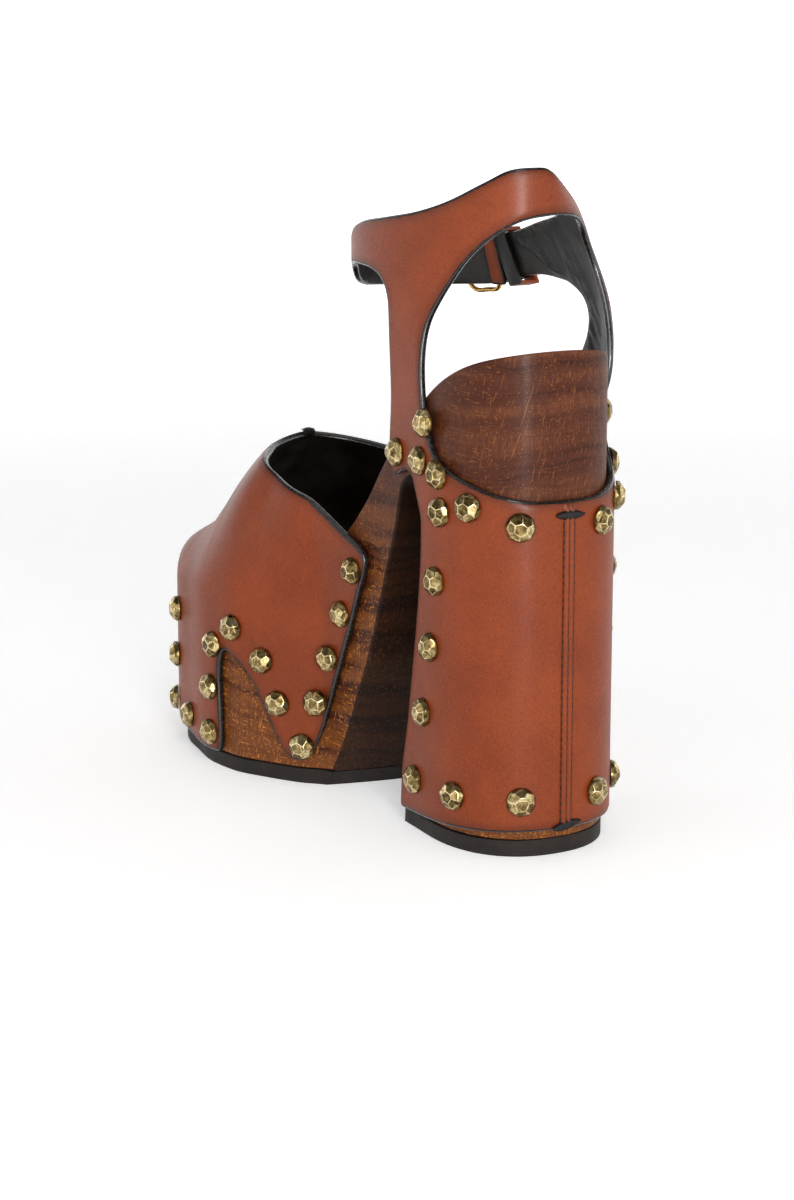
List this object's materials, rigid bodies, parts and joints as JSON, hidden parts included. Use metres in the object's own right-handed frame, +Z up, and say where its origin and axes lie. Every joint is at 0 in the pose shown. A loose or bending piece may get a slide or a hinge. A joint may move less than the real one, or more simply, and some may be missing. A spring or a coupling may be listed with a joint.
{
  "type": "platform clog sandal",
  "caption": "Open-toe platform clog sandal with a carved wooden sole, a high block heel, a wide leather vamp, a leather heel cover and a buckled ankle strap, edged with domed studs.",
  "frame": {"origin": "middle of the heel's resting face, on the floor", "axes": "+Z up, +Y from the heel towards the toe, +X towards the outer side of a right foot"},
  "size_m": [0.1086, 0.2301, 0.2215],
  "materials": {
    "stained_wood": "stained and waxed",
    "footbed_wood": "stained and waxed",
    "outsole_rubber": "matt",
    "upper_leather": "semi-matt, burnished",
    "keeper_leather": "painted edges",
    "buckle_metal": "polished",
    "stud_metal": "antiqued, hammered"
  },
  "bodies": {
    "root": {"sole_wood": "stained_wood", "outsole_heel": "outsole_rubber", "outsole_forefoot": "outsole_rubber", "insole": "footbed_wood", "vamp": "upper_leather", "quarter": "upper_leather", "buckle_frame": "buckle_metal", "buckle_prong": "buckle_metal", "strap_keeper": "keeper_leather", "stud_vamp_inner_1": "stud_metal", "stud_vamp_inner_2": "stud_metal", "stud_vamp_inner_3": "stud_metal", "stud_vamp_inner_4": "stud_metal", "stud_vamp_inner_5": "stud_metal", "stud_vamp_inner_6": "stud_metal", "stud_vamp_inner_7": "stud_metal", "stud_vamp_inner_8": "stud_metal", "stud_vamp_inner_9": "stud_metal", "stud_vamp_inner_10": "stud_metal", "stud_vamp_inner_11": "stud_metal", "stud_vamp_inner_12": "stud_metal", "stud_vamp_inner_13": "stud_metal", "stud_vamp_inner_14": "stud_metal", "stud_vamp_inner_15": "stud_metal", "stud_vamp_outer_1": "stud_metal", "stud_vamp_outer_2": "stud_metal", "stud_vamp_outer_3": "stud_metal", "stud_vamp_outer_4": "stud_metal", "stud_vamp_outer_5": "stud_metal", "stud_vamp_outer_6": "stud_metal", "stud_vamp_outer_7": "stud_metal", "stud_vamp_outer_8": "stud_metal", "stud_vamp_outer_9": "stud_metal", "stud_vamp_outer_10": "stud_metal", "stud_vamp_outer_11": "stud_metal", "stud_vamp_outer_12": "stud_metal", "stud_vamp_outer_13": "stud_metal", "stud_vamp_outer_14": "stud_metal", "stud_vamp_outer_15": "stud_metal", "stud_heel_inner_1": "stud_metal", "stud_heel_inner_2": "stud_metal", "stud_heel_inner_3": "stud_metal", "stud_heel_inner_4": "stud_metal", "stud_heel_inner_5": "stud_metal", "stud_heel_inner_6": "stud_metal", "stud_heel_inner_7": "stud_metal", "stud_heel_inner_8": "stud_metal", "stud_heel_inner_9": "stud_metal", "stud_heel_inner_10": "stud_metal", "stud_heel_outer_1": "stud_metal", "stud_heel_outer_2": "stud_metal", "stud_heel_outer_3": "stud_metal", "stud_heel_outer_4": "stud_metal", "stud_heel_outer_5": "stud_metal", "stud_heel_outer_6": "stud_metal", "stud_heel_outer_7": "stud_metal", "stud_heel_outer_8": "stud_metal", "stud_heel_outer_9": "stud_metal", "stud_heel_outer_10": "stud_metal"}
  },
  "joints": []
}
